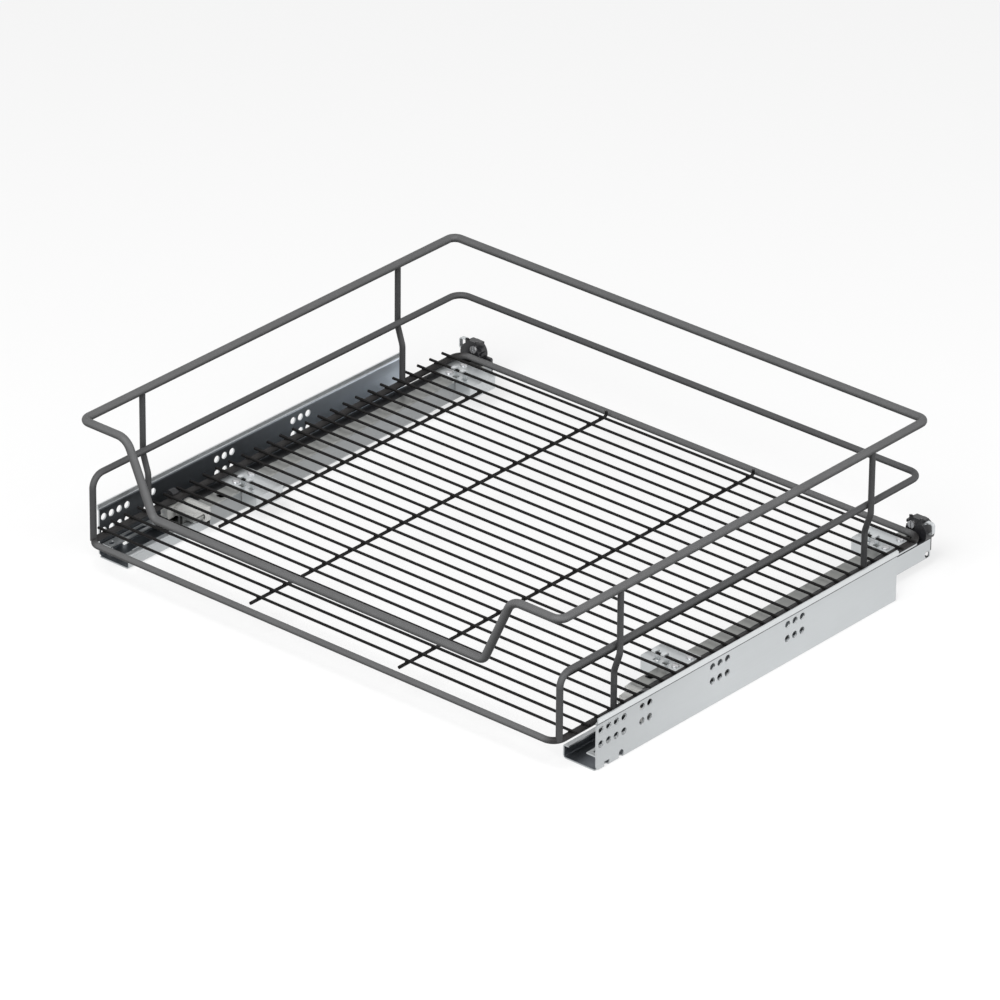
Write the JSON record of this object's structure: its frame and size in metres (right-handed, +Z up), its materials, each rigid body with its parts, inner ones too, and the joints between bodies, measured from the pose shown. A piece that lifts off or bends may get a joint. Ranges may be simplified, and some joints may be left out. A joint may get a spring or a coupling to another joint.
{
  "type": "pull-out basket drawer",
  "caption": "Wire basket with a scooped front, carried on a pair of full-extension roller runners that screw to a cabinet's side panels.",
  "frame": {"origin": "centre of the bounding box, at the height of the runners' underside", "axes": "+X to the right-hand runner, +Y to the rear, +Z up; the drawer opens along -Y"},
  "size_m": [0.564, 0.5014, 0.1529],
  "materials": {
    "coated_wire": "satin",
    "zinc_sheet": "satin",
    "black_plastic": "matte",
    "pale_plastic": "matte",
    "small_steel": "satin"
  },
  "bodies": {
    "cabinet_side": {"left_cabinet_profile": "zinc_sheet", "left_wall_raceway": "zinc_sheet", "left_rear_stop": "black_plastic", "right_cabinet_profile": "zinc_sheet", "right_wall_raceway": "zinc_sheet", "right_rear_stop": "black_plastic"},
    "basket": {"top_rim": "coated_wire", "middle_rail": "coated_wire", "base_frame": "coated_wire", "side_posts": "coated_wire", "floor_cross_wires": "coated_wire", "floor_long_wires": "coated_wire", "bracket_rivets": "small_steel", "lever_pins": "small_steel", "clip_screws": "small_steel", "left_drawer_profile": "zinc_sheet", "left_front_bracket": "zinc_sheet", "left_rear_bracket": "zinc_sheet", "left_lock_body": "pale_plastic", "left_rear_clip": "black_plastic", "left_clip_strap": "zinc_sheet", "right_drawer_profile": "zinc_sheet", "right_front_bracket": "zinc_sheet", "right_rear_bracket": "zinc_sheet", "right_lock_body": "pale_plastic", "right_rear_clip": "black_plastic", "right_clip_strap": "zinc_sheet"},
    "left_middle": {"left_middle_profile": "zinc_sheet"},
    "left_lower_carriage": {"left_lower_cage": "black_plastic", "left_lower_rollers": "pale_plastic"},
    "left_upper_carriage": {"left_upper_cage": "black_plastic", "left_upper_rollers": "pale_plastic"},
    "left_lever": {"left_release_lever": "black_plastic"},
    "right_middle": {"right_middle_profile": "zinc_sheet"},
    "right_lower_carriage": {"right_lower_cage": "black_plastic", "right_lower_rollers": "pale_plastic"},
    "right_upper_carriage": {"right_upper_cage": "black_plastic", "right_upper_rollers": "pale_plastic"},
    "right_lever": {"right_release_lever": "black_plastic"}
  },
  "joints": [
    {"name": "drawer_slide", "type": "slide", "parent": "cabinet_side", "child": "basket", "axis": [0, -1, 0], "range_m": [0, 0.43]},
    {"name": "left_middle_slide", "type": "slide", "parent": "cabinet_side", "child": "left_middle", "axis": [0, -1, 0], "range_m": [0, 0.215]},
    {"name": "left_lower_carriage_slide", "type": "slide", "parent": "cabinet_side", "child": "left_lower_carriage", "axis": [0, -1, 0], "range_m": [0, 0.1075]},
    {"name": "left_upper_carriage_slide", "type": "slide", "parent": "cabinet_side", "child": "left_upper_carriage", "axis": [0, -1, 0], "range_m": [0, 0.3225]},
    {"name": "left_lever_hinge", "type": "hinge", "parent": "basket", "child": "left_lever", "pos_m": [-0.26805, -0.13628, 0.0207], "axis": [0, -1, 0], "range_deg": [0, 12], "stiffness_Nm_per_rad": 0.05, "springref_deg": -5.73},
    {"name": "right_middle_slide", "type": "slide", "parent": "cabinet_side", "child": "right_middle", "axis": [0, -1, 0], "range_m": [0, 0.215]},
    {"name": "right_lower_carriage_slide", "type": "slide", "parent": "cabinet_side", "child": "right_lower_carriage", "axis": [0, -1, 0], "range_m": [0, 0.1075]},
    {"name": "right_upper_carriage_slide", "type": "slide", "parent": "cabinet_side", "child": "right_upper_carriage", "axis": [0, -1, 0], "range_m": [0, 0.3225]},
    {"name": "right_lever_hinge", "type": "hinge", "parent": "basket", "child": "right_lever", "pos_m": [0.26805, -0.13628, 0.0207], "axis": [0, 1, 0], "range_deg": [0, 12], "stiffness_Nm_per_rad": 0.05, "springref_deg": -5.73}
  ],
  "couplings": [
    {"joint": "left_middle_slide", "follows": "drawer_slide", "ratio": 0.5},
    {"joint": "left_lower_carriage_slide", "follows": "drawer_slide", "ratio": 0.25},
    {"joint": "left_upper_carriage_slide", "follows": "drawer_slide", "ratio": 0.75},
    {"joint": "right_middle_slide", "follows": "drawer_slide", "ratio": 0.5},
    {"joint": "right_lower_carriage_slide", "follows": "drawer_slide", "ratio": 0.25},
    {"joint": "right_upper_carriage_slide", "follows": "drawer_slide", "ratio": 0.75}
  ]
}
